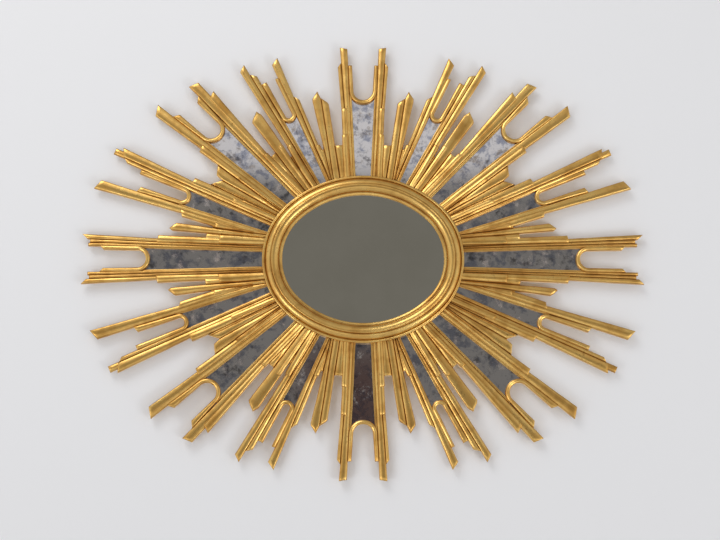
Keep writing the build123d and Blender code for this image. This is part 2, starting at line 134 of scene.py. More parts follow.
STEEP_LOWER_TINE = Tine(
    Arm(-6.8, 3.6, (213, 213)),
    (
        Reed((2.9, 2.9), (6.0, 12.0), (232, 241), 0),
        Reed((6.0, 12.0), (15.2, 24.5), (264, 255), 0),
        Reed((9.3, 9.3), (20.4, 20.4), (86, 84), 1),
        Reed((20.0, 20.0), (50.0, 50.0), (64, 64), 1),
    ),
)
WIDE_UPPER_TINE = Tine(
    Arm(-6.1, 5.2, (254, 263)),
    (
        Reed((4.3, 4.4), (15.0, 20.3), (288, 281), 0),
        Reed((9.4, 14.3), (14.8, 28.1), (243, 249), 1),
        Reed((11.6, 11.6), (22.0, 22.0), (94, 92), 2),
        Reed((20.0, 20.0), (60.0, 60.0), (82, 82), 1),
    ),
)
WIDE_LOWER_TINE = Tine(
    Arm(-7.5, 4.0, (262, 270)),
    (
        Reed((1.8, 2.6), (11.5, 19.0), (307, 297), 0),
        Reed((9.5, 11.0), (18.0, 25.0), (192, 188), 1),
        Reed((16.0, 16.0), (23.5, 23.5), (99, 97), 2),
        Reed((18.0, 18.0), (50.0, 50.0), (60, 60), 1),
    ),
)
NARROW_UPPER_TINE = Tine(
    Arm(-9.5, -0.2, (255, 255)),
    (
        Reed((-1.0, -0.8), (5.5, 6.2), (286, 294), 0),
        Reed((5.5, 6.2), (12.0, 19.6), (296, 304), 0),
        Reed((5.5, 5.5), (9.0, 14.5), (316, 316), -1),
        Reed((11.3, 11.3), (25.3, 25.3), (159, 157), 1),
        Reed((10.0, 10.0), (20.0, 20.0), (76, 74), 2),
        Reed((19.0, 19.0), (27.0, 27.0), (58, 58), 2),
    ),
)
NARROW_LOWER_TINE = Tine(
    Arm(-8.2, 2.6, (243, 248)),
    (
        Reed((1.5, 1.8), (10.7, 17.0), (317, 326), 0),
        Reed((9.2, 9.2), (21.7, 21.7), (160, 153), 1),
        Reed((12.5, 12.5), (25.0, 25.0), (90, 88), 2),
        Reed((20.0, 20.0), (45.0, 45.0), (94, 92), 1),
    ),
)

FORKS = {
    "upright": Fork((0, 160), (0, 303), 28.4, 42.0, 143.5, 18.0, UPRIGHT_TINE, UPRIGHT_TINE),
    "level": Fork((188.4, 0), (399.1, 0), 27.8, 40.4, 213.0, 16.0, LEVEL_TINE, LEVEL_TINE),
    "steep": Fork(
        (77.65, 151.5), (133.4, 261.65), 12.7, 23.7, 131.0, 6.6, STEEP_UPPER_TINE, STEEP_LOWER_TINE
    ),
    "wide": Fork(
        (136.65, 112.25), (273.55, 236.15), 19.1, 42.7, 182.0, 17.5, WIDE_UPPER_TINE, WIDE_LOWER_TINE
    ),
    "narrow": Fork(
        (181.55, 59.8), (320.85, 112.85), 13.9, 29.4, 157.0, 8.6, NARROW_UPPER_TINE, NARROW_LOWER_TINE
    ),
}

# A bar of a short ray lies between two sides, each from the ring to the tip. A distance of None is the
# ring, and the offsets "left" and "right" are the ray's own borders.
RAYS = {
    "upright": Ray(
        (55.5, 152),
        (77.5, 290.6),
        (-12.7, -13.9),
        (4.6, 19.3),
        (
            Bar(((None, "left"), (145.7, "left"), (155.7, -1.9)), ((None, 0), (150, -0.96), (156, -1.0)), 0),
            Bar(((None, 0), (156, -1.0), (171, 4)), ((None, "right"), (157, "right"), (171, 4)), 0),
        ),
    ),
    "middle": Ray(
        (106, 138),
        (195.8, 266.0),
        (-6.8, -10.3),
        (8.3, 15.0),
        (
            Bar(((None, "left"), (160, "left"), (171, -4.5)), ((None, "right"), (160, "right"), (171, -4.5)), 0),
            Bar(((None, "left"), (91, "left")), ((None, 1.5), (91, 1.5)), 1),
        ),
    ),
    "web": Ray(
        (163, 90),
        (282.3, 158.2),
        (-6.2, -29.1),
        (7.2, 19.6),
        (
            Bar(((None, "left"), (137, "left")), ((None, -1.0), (115, -1.2), (129, -4.5)), 1),
            Bar(((None, -1.0), (115, -1.2)), ((None, "right"), (130, "right")), 0),
            Bar(((None, 3.4), (124, 11.5)), ((None, "right"), (129, "right")), 1),
        ),
    ),
    "level": Ray(
        (183, 44),
        (360.4, 60.3),
        (-2.0, -10.5),
        (5.3, 6.1),
        (Bar(((None, "left"), (165, "left"), (176.5, 2)), ((None, "right"), (172, "right"), (176.5, 2)), 0),),
    ),
}


def linear(colour):
    """A six-digit sRGB colour as the linear colour that a shader reads."""
    parts = [int(colour[i : i + 2], 16) / 255 for i in (0, 2, 4)]
    return tuple(c / 12.92 if c <= 0.04045 else ((c + 0.055) / 1.055) ** 2.4 for c in parts) + (1.0,)


def add_node(tree, kind, inputs=None, **settings):
    """Adds a node, gives it its settings, and sets or links each named or numbered input."""
    made = tree.nodes.new(kind)
    for key, value in settings.items():
        setattr(made, key, value)
    for key, value in (inputs or {}).items():
        if isinstance(value, bpy.types.NodeSocket):
            tree.links.new(value, made.inputs[key])
        else:
            made.inputs[key].default_value = value
    return made


def number(name, description, default):
    return bpy.props.FloatProperty(name=name, description=description, default=default)


def tint(name, description, code):
    return bpy.props.FloatVectorProperty(
        name=name, description=description, subtype="COLOR", size=4, default=linear(code)
    )


class CarvingSettings(bpy.types.PropertyGroup):
    """Sizes of the carved wood, in millimetres."""

    board_thick: number("Board", "Thickness of the back board, which the rays stand on", 8.0)
    wood_thick: number("Groove height", "Wood left under the grooves between the reeds", 8.0)
    reed_rise: number("Reed rise", "Height of a reed's crown above its grooves", 4.0)
    layer_step: number("Layer step", "Height from one layer of reeds to the next", 2.2)
    roll_width: number("Roll", "Width of the rounding along a reed's edges", 3.0)
    camber: number("Camber", "Swelling of a reed's crown between its rounded edges", 0.7)
    tip_roll: number("Tip rounding", "Length over which a reed's crown falls at its tip", 1.8)
    bead_width: number("Bead width", "Width of the U-shaped bead at the end of a pane", 8.0)
    bead_proud: number("Bead height", "How far the bead stands above the lowest reeds", 1.2)
    unevenness: number("Unevenness", "How far the hand-cut surfaces wander", 0.3)


class MouldingSettings(bpy.types.PropertyGroup):
    """Sizes of the oval moulding, in millimetres."""

    half_width: number("Half width", "Half the oval's width", 186.3)
    half_height: number("Half height", "Half the oval's height", 156.4)
    end_radius: number("End radius", "Radius of the oval's ends", 137.0)
    width: number("Width", "Width of the moulding", 37.0)
    seat: number("Seat", "Height of its underside from the wall", 13.0)
    rebate: number("Rebate", "Width of the rebate for the glass", 7.5)
    glass_top: number("Glass height", "Height of the glass's face from the wall", 22.0)
    steps: bpy.props.IntProperty(name="Steps", description="Steps of the sweep round the oval", default=360)


class FinishSettings(bpy.types.PropertyGroup):
    """Colours of the finishes."""

    gold: tint("Gold", "Burnished gold leaf", "f0c878")
    deep_gold: tint("Deep gold", "Leaf under old toning", "c98b36")
    # this brown is wax in the blotches and worm holes, and also painted shade in the hollows
    toning: tint("Toning", "Brown wax left in the hollows", "4a2a0e")
    bole: tint("Bole", "Red-brown clay under the leaf", "8c4a1e")
    back_wash: tint("Back wash", "Ochre size on the wood's back", "a98449")
    silver: tint("Silvering", "Sound silver behind the panes", "dcd8d9")
    haze: tint("Haze", "Blue-grey bloom in the silver", "888da0")
    foxing: tint("Foxing", "Brown spots in the silver", "84705c")
    centre_silver: tint("Centre silvering", "Silver of the oval glass", "dedbd0")
    plywood: tint("Plywood", "Birch ply of the board", "c39a6b")
    zinc: tint("Zinc", "Plated steel of straps and screws", "b4b4ae")
    brass: tint("Brass", "Dull brass of the rings", "c9a65c")


class ScrewSettings(bpy.types.PropertyGroup):
    """Sizes of the screws and their places, in millimetres."""

    clamp_shank: number("Clamp shank", "Radius of the long screws", 2.0)
    clamp_head: number("Clamp head", "Radius of their heads", 4.0)
    clamp_length: number("Clamp length", "Length of the long screws", 25.0)
    clamp_tuck: number("Clamp tuck", "From a pane's inner end to its fork's screw", 23.0)
    strap_shank: number("Strap shank", "Radius of the strap screws", 1.2)
    strap_head: number("Strap head", "Radius of their heads", 2.6)
    strap_crown: number("Strap crown", "Radius of their faces", 1.6)
    strap_rise: number("Strap rise", "Height of their heads", 1.5)
    strap_face: number("Strap face", "Height of their faces from the wall", 4.5)
    strap_length: number("Strap length", "Length of the strap screws", 9.5)
    hanger_distance: number("Hanger distance", "From the ring to a hanger's hinge, along its ray", 112.0)
    hanger_offset: number("Hanger offset", "From its ray's line to the middle of a hanger", 1.7)


class StageSettings(bpy.types.PropertyGroup):
    """The wall, the floor, the lamps and the camera."""

    wall: tint("Wall", "Colour of the wall and floor", "efeff1")
    surround: number("Surround", "Brightness of the pale surroundings", 0.72)
    ceiling: number("Ceiling", "Brightness of what is overhead", 0.42)
    floor_glow: number("Floor glow", "Brightness of the pale floor in the gilding", 1.2)
    room: number("Room", "Brightness of the dark room in front of the mirror", 0.2)
    lens: number("Lens", "Focal length in millimetres", 69.98)
    camera_place: bpy.props.FloatVectorProperty(
        name="Camera", description="Place of the camera", subtype="TRANSLATION", default=(-0.0289, -2.5675, -0.4270)
    )
    camera_aim: bpy.props.FloatVectorProperty(
        name="Aim", description="Point that the camera looks at", subtype="TRANSLATION", default=(-0.0056, 0, -0.0176)
    )


class Line:
    """A line in the wall plane, with distances along it and offsets to one side of it."""

    def __init__(self, start, end, side):
        self.start = np.array(start, float)
        run = np.array(end, float) - self.start
        self.along = run / np.hypot(*run)
        self.across = side * np.array((-self.along[1], self.along[0]))

    def at(self, distance, offset):
        distance, offset = np.broadcast_arrays(np.asarray(distance, float), np.asarray(offset, float))
        return self.start + distance[..., None] * self.along + offset[..., None] * self.across

    def read(self, point):
        away = np.asarray(point, float) - self.start
        return away @ self.along, away @ self.across


def border_at(border, distance):
    return border[0] + (border[1] - border[0]) * distance / BORDER_SPAN


def oval_arcs(moulding):
    """Centre of the end arc, centre and radius of the flat arc, and the angle where they meet."""
    end_centre = moulding.half_width - moulding.end_radius
    drop = moulding.half_height - moulding.end_radius
    flat_radius = (end_centre**2 + moulding.half_height**2 - moulding.end_radius**2) / (2 * drop)
    flat_centre = flat_radius - moulding.half_height
    return end_centre, flat_centre, flat_radius, math.atan2(flat_centre, end_centre)


def inside_ring(moulding, point):
    """How far a point lies inside the moulding's outer edge."""
    end_centre, flat_centre, flat_radius, turn = oval_arcs(moulding)
    x, y = abs(point[0]), abs(point[1])
    if math.atan2(y, x - end_centre) < turn:
        return moulding.end_radius - math.hypot(x - end_centre, y)
    return flat_radius - math.hypot(x, y + flat_centre)


def leave_ring(moulding, line, border, tuck):
    """The distance at which a border comes out of the moulding, less a tuck."""
    low, high = -40.0, 60.0
    for _ in range(30):
        middle = (low + high) / 2
        if inside_ring(moulding, line.at(middle, border_at(border, middle))) > tuck:
            low = middle
        else:
            high = middle
    return low


class Carving:
    """Collects the bars of one carved piece: points with their grain and crest, and faces."""

    def __init__(self, sides, seed):
        self.sides = sides
        self.random = np.random.default_rng(seed)
        self.points, self.grain, self.crest, self.faces = [], [], [], []
        self.count = 0

    def tube(self, rows, grain, crest):
        """Adds a closed skin over rows of points, from one end to the other, with a cap at each end."""
        steps, around = rows.shape[:2]
        base = self.count + np.arange(steps * around).reshape(steps, around)
        after = np.roll(base, -1, axis=1)
        quads = np.stack((base[:-1], base[1:], after[1:], after[:-1]), axis=-1).reshape(-1, 4)
        faces = quads.tolist() + [base[0].tolist(), base[-1][::-1].tolist()]
        sections = np.cross(rows, np.roll(rows, -1, axis=1)).sum(axis=1)
        if (sections[:-1] * np.diff(rows.mean(axis=1), axis=0)).sum() > 0:
            faces = [face[::-1] for face in faces]
        self.faces += faces
        self.points.append(rows.reshape(-1, 3))
        self.grain.append(grain.reshape(-1, 3))
        self.crest.append(crest.reshape(-1))
        self.count += steps * around

    def bar(self, left, right, base, edge, rise, roll, camber, start_roll=0.0, end_roll=1.8, lift=0.25):
        """A carved bar between two side lines of equal length, its crown rounded over on its sides and tips."""
        # each bar's back lies a little deeper than the last one's, so that no two lie in one plane
        base = base + BACK_STEP * len(self.points)
        across = right - left
        width = np.hypot(across[:, 0], across[:, 1])
        unit = across / np.maximum(width, 1e-6)[:, None]
        middle = (left + right) / 2
        step = np.hypot(*np.diff(middle, axis=0).T)
        run = np.concatenate(([0], np.cumsum(step)))
        roll = np.minimum(roll, 0.42 * width)
        share = np.ones(len(run))
        for away, length in ((run, start_roll), (run[-1] - run, end_roll)):
            if length:
                near = np.clip(1 - away / length, 0, 1)
                share = np.minimum(share, np.sqrt(1 - near**2))
        tilt = self.random.uniform(-1, 1) * (TILT if lift else 0.0)
        lift = self.random.uniform(-lift, 0)
        bends = [math.radians(angle) for angle in BENDS]
        places = [(0 * width, base + 0 * share, 0.0)]
        for bend in bends:
            height = edge + (rise - camber) * math.sin(bend) * share + lift
            places.append((roll * (1 - math.cos(bend)), height, math.sin(bend) ** 3))
        for part in (0.25, 0.5, 0.75):
            height = edge + (rise - camber * (2 * part - 1) ** 2) * share + lift
            places.append((roll + (width - 2 * roll) * part, height, 0.6))
        for bend in reversed(bends):
            height = edge + (rise - camber) * math.sin(bend) * share + lift
            places.append((width - roll * (1 - math.cos(bend)), height, math.sin(bend) ** 3))
        places.append((width, base + 0 * share, 0.0))
        rows = np.empty((len(run), len(places), 3))
        grain = np.empty_like(rows)
        crest = np.empty(rows.shape[:2])
        for i, (offset, height, shine) in enumerate(places):
            rows[:, i, :2] = left + unit * offset[:, None]
            rows[:, i, 2] = height + (tilt * (offset - width / 2) * share if 0 < i < len(places) - 1 else 0)
            grain[:, i] = np.stack((run, offset - width / 2 + 37.0 * lift, height), axis=-1)
            crest[:, i] = shine
        self.tube(rows, grain, crest)

    def mesh(self, name, unevenness):
        """The finished mesh in the row frame, in metres, its surfaces wandering as if cut by hand."""
        points = np.concatenate(self.points)
        points[:, :2] *= self.sides
        for size, strength in WAVES:
            for axis in range(3):
                heading = self.random.uniform(0, 2 * math.pi)
                phase = self.random.uniform(0, 2 * math.pi)
                wave = points[:, 0] * math.cos(heading) + points[:, 1] * math.sin(heading)
                move = unevenness * strength * 0.5 * np.sin(wave * 2 * math.pi / size + phase)
                if axis == 2:
                    move = move * (points[:, 2] > self.points[0][:, 2].min() + 1)
                points[:, axis] += move * (0.6 if axis < 2 else 1.0)
        row = np.stack((points[:, 0], -points[:, 2], points[:, 1]), axis=-1) * MM
        row = np.clip(row, *np.array([tuple(corner) for corner in cad_box]))
        faces = self.faces
        if self.sides[0] * self.sides[1] < 0:
            faces = [face[::-1] for face in faces]
        mesh = bpy.data.meshes.new(name)
        mesh.from_pydata(row.tolist(), [], faces)
        grain = mesh.attributes.new("grain", "FLOAT_VECTOR", "POINT")
        grain.data.foreach_set("vector", (np.concatenate(self.grain) * MM).ravel())
        crest = mesh.attributes.new("crest", "FLOAT", "POINT")
        crest.data.foreach_set("value", np.concatenate(self.crest))
        mesh.validate()
        mesh.shade_smooth()
        mesh.set_sharp_from_angle(angle=math.radians(CARVED_EDGE))
        return mesh


def stations(length, tip, start_tip=0.0, spacing=6.0):
    """Shares of a length, evenly spaced along it and closer together where a tip rounds over."""
    bends = np.radians(BENDS)
    close = (1 - np.cos(bends)) / length
    low = close * start_tip if start_tip else np.zeros(1)
    high = 1 - (close * tip)[::-1] if tip else np.ones(1)
    count = max(2, int(length / spacing))
    body = np.linspace(low[-1], high[0], count + 1)[1:-1]
    return np.concatenate((low, body, high))


def side_points(line, pieces, shares):
    """Points along a side that runs through the given (distance, offset) corners, at shares of its length."""
    corners = np.array([line.at(*corner) for corner in pieces])
    lengths = np.concatenate(([0], np.cumsum(np.hypot(*np.diff(corners, axis=0).T))))
    if lengths[-1] == 0:
        return np.repeat(corners[:1], len(shares), axis=0)
    return np.stack([np.interp(shares * lengths[-1], lengths, corners[:, i]) for i in (0, 1)], axis=-1)


def add_reed(carving, line, reed, land, carve, moulding):
    """A reed of a tine, held inside the fork's own ground."""
    low, high = [leave_ring(moulding, line, border, RING_TUCK) for border in (reed.inner, reed.outer)]
    start = max(min(low, high), land_start(reed, land))
    shares = stations(max(reed.ends) - start, carve.tip_roll)
    inner_at = start + (reed.ends[0] - start) * shares
    outer_at = start + (reed.ends[1] - start) * shares
    inner = border_at(reed.inner, inner_at)
    outer = np.minimum(border_at(reed.outer, outer_at), land[0] + land[1] * outer_at)
    outer = np.maximum(outer, inner + 0.4)
    edge = carve.board_thick + carve.wood_thick + reed.layer * carve.layer_step
    crown = (carve.reed_rise, carve.roll_width, carve.camber)
    inner, outer = line.at(inner_at, inner), line.at(outer_at, outer)
    carving.bar(inner, outer, carve.board_thick, edge, *crown, end_roll=carve.tip_roll)


def land_start(reed, land):
    """Where a reed's inner border comes inside the fork's ground."""
    for distance in np.arange(-20.0, 120.0, 1.0):
        if land[0] + land[1] * distance - border_at(reed.inner, distance) > 1.0:
            return distance
    return 120.0


def pane_half_width(fork, distance):
    length = math.dist(fork.inner, fork.outer)
    return (fork.inner_width + (fork.outer_width - fork.inner_width) * distance / length) / 2


def tine_line(fork, side):
    axis = Line(fork.inner, fork.outer, side)
    length = math.dist(fork.inner, fork.outer)
    return Line(axis.at(0, pane_half_width(fork, 0)), axis.at(length, pane_half_width(fork, length)), side)


def ray_line(ray):
    return Line(ray.foot, ray.toward, -1)


def ray_border(ray, border):
    line = ray_line(ray)
    return [line.at(u, border_at(border, u)) for u in (0.0, 2 * BORDER_SPAN)]


def fork_borders():
    """Each fork's name with the two border lines that it shares with the short rays beside it."""
    upright, middle, web, level = (RAYS[name] for name in ("upright", "middle", "web", "level"))
    upright_left = ray_border(upright, upright.left)
    level_right = ray_border(level, level.right)
    return {
        "upright": ([p * (-1, 1) for p in upright_left], upright_left),
        "steep": (ray_border(upright, upright.right), ray_border(middle, middle.left)),
        "wide": (ray_border(middle, middle.right), ray_border(web, web.left)),
        "narrow": (ray_border(web, web.right), ray_border(level, level.left)),
        "level": (level_right, [p * (1, -1) for p in level_right]),
    }


def add_bead(carving, fork, carve):
    """The U-shaped bead: down one tine, round the bottom of the gap and out along the other."""
    start = fork.gap_start + fork.gap_radius
    axis = Line(fork.inner, fork.outer, 1)
    centre = axis.at(start, 0)
    gap_side, wood_side = [], []
    for side, tine in ((1, fork.upper), (-1, fork.lower)):
        line = tine_line(fork, side)
        edge = fork.gap_radius - pane_half_width(fork, start)
        shares = stations(tine.arm.ends[0] - start, carve.tip_roll)[1:]
        gap_at = start + (tine.arm.ends[0] - start) * shares
        wood_at = start + (tine.arm.ends[1] - start) * shares
        gap = line.at(gap_at, edge + (tine.arm.inner - edge) * shares)
        wood_edge = edge + carve.bead_width
        wood = line.at(wood_at, wood_edge + (tine.arm.outer - wood_edge) * shares)
        if side > 0:
            gap_side.append(gap[::-1])
            wood_side.append(wood[::-1])
            turns = np.linspace(0, math.pi, 25)
            ways = np.cos(turns)[:, None] * axis.across - np.sin(turns)[:, None] * axis.along
            gap_side.append(centre + fork.gap_radius * ways)
            wood_side.append(centre + (fork.gap_radius + carve.bead_width) * ways)
        else:
            gap_side.append(gap)
            wood_side.append(wood)
    edge = carve.board_thick + carve.wood_thick + carve.bead_proud
    crown = (carve.reed_rise, carve.roll_width, 0.3)
    wood, gap = np.concatenate(wood_side), np.concatenate(gap_side)
    carving.bar(wood, gap, carve.board_thick, edge, *crown, start_roll=carve.tip_roll, end_roll=carve.tip_roll)


def add_heel(carving, line, left, right, carve, moulding):
    """The thin wood that passes under the moulding, between two borders."""
    sides = []
    for border in (left, right):
        inner = leave_ring(moulding, line, border, HEEL_TUCK)
        outer = leave_ring(moulding, line, border, 0.0)
        sides.append(side_points(line, [(u, border_at(border, u)) for u in (inner, outer)], np.linspace(0, 1, 4)))
    carving.bar(sides[0], sides[1], carve.board_thick, moulding.seat - 0.2, 0.0, 0.2, 0.0, end_roll=0.0, lift=0.0)


def fork_carving(fork, borders, sides, seed, carve, moulding):
    carving = Carving(sides, seed)
    axis = Line(fork.inner, fork.outer, -1)
    spans = []
    for first, second in borders:
        (u1, o1), (u2, o2) = axis.read(first), axis.read(second)
        at_ring = o1 - (o2 - o1) * u1 / (u2 - u1)
        spans.append((at_ring, at_ring + (o2 - o1) * BORDER_SPAN / (u2 - u1)))
    add_heel(carving, axis, spans[0], spans[1], carve, moulding)
    for side, tine, border in ((1, fork.upper, borders[0]), (-1, fork.lower, borders[1])):
        line = tine_line(fork, side)
        (u1, o1), (u2, o2) = line.read(border[0]), line.read(border[1])
        slope = (o2 - o1) / (u2 - u1)
        land = (o1 - slope * u1, slope)
        strip_start = leave_ring(moulding, line, (2.0, 2.0), RING_TUCK)
        bead_start = fork.gap_start + fork.gap_radius
        shares = stations(bead_start - strip_start, 0.0)
        strip = [side_points(line, [(strip_start, o), (bead_start, o)], shares) for o in (0.0, 4.0)]
        top = carve.board_thick + carve.wood_thick + 0.5
        carving.bar(strip[0], strip[1], carve.board_thick, top, 1.0, 1.0, 0.1, end_roll=0.0)
        for reed in tine.reeds:
            add_reed(carving, line, reed, land, carve, moulding)
    add_bead(carving, fork, carve)
    return carving


def ray_carving(ray, sides, seed, carve, moulding):
    carving = Carving(sides, seed)
    line = ray_line(ray)
    borders = {"left": ray.left, "right": ray.right}
    add_heel(carving, line, ray.left, ray.right, carve, moulding)
    for bar in ray.bars:
        lines = []
        for side in (bar.left, bar.right):
            corners = []
            for distance, offset in side:
                border = borders.get(offset, (offset, offset))
                if distance is None:
                    distance = leave_ring(moulding, line, border, RING_TUCK)
                corners.append((distance, border_at(border, distance)))
            lines.append(corners)
        length = lines[0][-1][0] - lines[0][0][0]
        shares = stations(length, carve.tip_roll, spacing=5.0)
        edge = carve.board_thick + carve.wood_thick + bar.layer * carve.layer_step
        crown = (carve.reed_rise, carve.roll_width, carve.camber)
        left, right = (side_points(line, corners, shares) for corners in lines)
        carving.bar(left, right, carve.board_thick, edge, *crown, end_roll=carve.tip_roll)
    return carving


QUARTERS = {
    "upper_right": (1, 1),
    "upper_left": (-1, 1),
    "lower_right": (1, -1),
    "lower_left": (-1, -1),
}


def place(name, mesh, material, nodes):
    """Adds a finished piece to the scene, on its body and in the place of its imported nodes."""
    piece = bpy.data.objects.new(name, mesh)
    bpy.context.scene.collection.objects.link(piece)
    mesh.materials.clear()
    mesh.materials.append(material)
    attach(piece, BODY)
    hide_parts(*nodes)
    return piece


def coat(node, material):
    """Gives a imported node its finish."""
    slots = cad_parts[node].material_slots
    for slot in slots:
        slot.link = "OBJECT"
        slot.material = material


def start_material(name):
    made = bpy.data.materials.new(name)
    made.use_nodes = True
    made.node_tree.nodes.clear()
    return made, made.node_tree


def end_material(tree, shader):
    add_node(tree, "ShaderNodeOutputMaterial", {"Surface": shader.outputs[0]})


def ranged(tree, value, low, high, to_low=0.0, to_high=1.0):
    """A value eased from one range to another."""
    inputs = {"Value": value, "From Min": low, "From Max": high, "To Min": to_low, "To Max": to_high}
    return add_node(tree, "ShaderNodeMapRange", inputs, interpolation_type="SMOOTHSTEP").outputs[0]


def blended(tree, share, first, second):
    """Two colours mixed by a share."""
    made = add_node(tree, "ShaderNodeMix", {0: share, 6: first, 7: second}, data_type="RGBA")
    return made.outputs[2]


def calculated(tree, operation, first, second):
    return add_node(tree, "ShaderNodeMath", {0: first, 1: second}, operation=operation).outputs[0]


def times(tree, first, second):
    return calculated(tree, "MULTIPLY", first, second)


def plus(tree, first, second):
    return calculated(tree, "ADD", first, second)


def noise(tree, vector, scale, detail, roughness=0.5, distortion=0.0, output="Fac"):
    inputs = {"Vector": vector, "Scale": scale, "Detail": detail, "Roughness": roughness, "Distortion": distortion}
    return add_node(tree, "ShaderNodeTexNoise", inputs).outputs[output]


def scaled(tree, vector, scale):
    return add_node(tree, "ShaderNodeMapping", {"Vector": vector, "Scale": scale}).outputs[0]


def surfaced(tree, colour, metallic, roughness, normal=None):
    """Ends a material with its surface."""
    inputs = {"Base Color": colour, "Metallic": metallic, "Roughness": roughness}
    if normal is not None:
        inputs["Normal"] = normal
    end_material(tree, add_node(tree, "ShaderNodeBsdfPrincipled", inputs))


def gilded_wood(name, finish, on_sweep):
    """Water gilding on lime wood: leaf burnished over red-brown bole and gesso, then toned with wax and rubbed.
    To the eye: streaks along the carving, hollows browned partly as wax and partly as painted shade, paler crests, a
    few worm holes, and ochre size behind."""
    made, tree = start_material(name)
    here = add_node(tree, "ShaderNodeTexCoord")
    crest = add_node(tree, "ShaderNodeAttribute", attribute_name="crest").outputs["Fac"]
    grain = add_node(tree, "ShaderNodeAttribute", attribute_name="grain").outputs["Vector"]
    # streaks of the brush and the burnisher: about 3 mm wide and 120 mm long
    long_way = (8, 330, 330) if not on_sweep else (330, 8, 8)
    streaks = noise(tree, scaled(tree, grain, long_way), 1.0, 3.0, 0.6)
    # blotches of old toning: about 35 mm, and unevenness of the gesso: about 5 mm
    blotches = noise(tree, here.outputs["Object"], 28.0, 5.0, 0.6)
    gesso = noise(tree, here.outputs["Object"], 190.0, 4.0, 0.65)
    # painted shade: ambient occlusion within 6 mm browns the leaf in hollows and gaps, partly for wax and partly for
    # the shade that falls there
    closeness = add_node(tree, "ShaderNodeAmbientOcclusion", {"Distance": 0.006}, samples=6).outputs["AO"]
    hollow_wax_and_shade = ranged(tree, closeness, 0.62, 0.12, 0.0, 0.5 if on_sweep else 0.8)
    tone = plus(tree, ranged(tree, blotches, 0.3, 0.7, 0.0, 0.45), ranged(tree, streaks, 0.3, 0.7, 0.0, 0.35))
    tone = plus(tree, tone, times(tree, crest, 0.3))
    if on_sweep:
        tone = plus(tree, tone, 0.35)
    leaf = blended(tree, tone, tuple(finish.deep_gold), tuple(finish.gold))
    # leaf rubbed through to the bole on some crests
    worn = times(tree, ranged(tree, gesso, 0.55, 0.72), ranged(tree, blotches, 0.45, 0.65))
    leaf = blended(tree, times(tree, worn, 0.5), leaf, tuple(finish.bole))
    leaf = blended(tree, ranged(tree, blotches, 0.5, 0.36, 0.0, 0.16), leaf, tuple(finish.toning))
    # painted shade and wax: the hollows are browned towards the toning colour
    leaf = blended(tree, hollow_wax_and_shade, leaf, tuple(finish.toning))
    # worm holes and pricks of dirt: about 1.2 mm wide, in one of three cells of 16 mm
    cells = add_node(tree, "ShaderNodeTexVoronoi", {"Vector": here.outputs["Object"], "Scale": 62.0})
    chosen = add_node(tree, "ShaderNodeSeparateColor", {0: cells.outputs["Color"]}).outputs[0]
    spot = times(tree, ranged(tree, cells.outputs["Distance"], 0.05, 0.03), ranged(tree, chosen, 0.66, 0.7))
    leaf = blended(tree, times(tree, spot, 0.85), leaf, tuple(finish.toning))
    facing = add_node(tree, "ShaderNodeSeparateXYZ", {0: here.outputs["Normal"]}).outputs["Y"]
    behind = ranged(tree, facing, 0.55, 0.8)
    colour = blended(tree, behind, leaf, tuple(finish.back_wash))
    # the painted shade of the hollows also takes shine from the leaf, as the back wash and the worm holes do
    covered_and_shaded = calculated(tree, "MAXIMUM", behind, calculated(tree, "MAXIMUM", hollow_wax_and_shade, spot))
    roughness = plus(tree, ranged(tree, tone, 0.0, 1.0, 0.4, 0.27), times(tree, covered_and_shaded, 0.35))
    marks = noise(tree, scaled(tree, grain, tuple(4 * part for part in long_way)), 1.0, 2.0)
    height = plus(tree, times(tree, gesso, 1.0), times(tree, marks, 0.35))
    bump = add_node(tree, "ShaderNodeBump", {"Height": height, "Strength": 0.25, "Distance": 0.0003})
    surfaced(tree, colour, ranged(tree, covered_and_shaded, 0.0, 1.0, 1.0, 0.0), roughness, bump.outputs[0])
    return made


def foxed_glass(name, finish):
    """Silvered glass whose silver has foxed: damp has bloomed blue-grey and brown through it.
    To the eye: clouded patches of 5 to 15 mm that scatter light, over glass that still mirrors the room."""
    made, tree = start_material(name)
    here = add_node(tree, "ShaderNodeTexCoord").outputs["Object"]
    clouds = noise(tree, here, 52.0, 7.0, 0.66, 0.3)
    split = add_node(tree, "ShaderNodeSeparateColor", {0: noise(tree, here, 44.0, 7.0, 0.7, 0.2, "Color")})
    bloom = ranged(tree, clouds, 0.46, 0.62)
    brown = ranged(tree, split.outputs[1], 0.5, 0.68)
    dark = ranged(tree, split.outputs[2], 0.54, 0.68)
    colour = blended(tree, times(tree, bloom, 0.8), tuple(finish.silver), tuple(finish.haze))
    colour = blended(tree, times(tree, brown, 0.65), colour, tuple(finish.foxing))
    colour = blended(tree, times(tree, dark, 0.7), colour, linear("2e2c33"))
    lost = calculated(tree, "MAXIMUM", times(tree, bloom, 0.12), times(tree, brown, 0.6))
    surfaced(tree, colour, ranged(tree, lost, 0.0, 1.0, 1.0, 0.3), ranged(tree, lost, 0.0, 1.0, 0.06, 0.4))
    return made


def aged_glass(name, finish):
    """Silvered float glass, wiped clean: an even mirror with a faint warm cast and the least haze."""
    made, tree = start_material(name)
    here = add_node(tree, "ShaderNodeTexCoord").outputs["Object"]
    haze = noise(tree, here, 14.0, 4.0)
    colour = blended(tree, ranged(tree, haze, 0.3, 0.7, 0.0, 0.25), tuple(finish.centre_silver), linear("c8c5b8"))
    surfaced(tree, colour, 1.0, ranged(tree, haze, 0.3, 0.7, 0.02, 0.05))
    return made


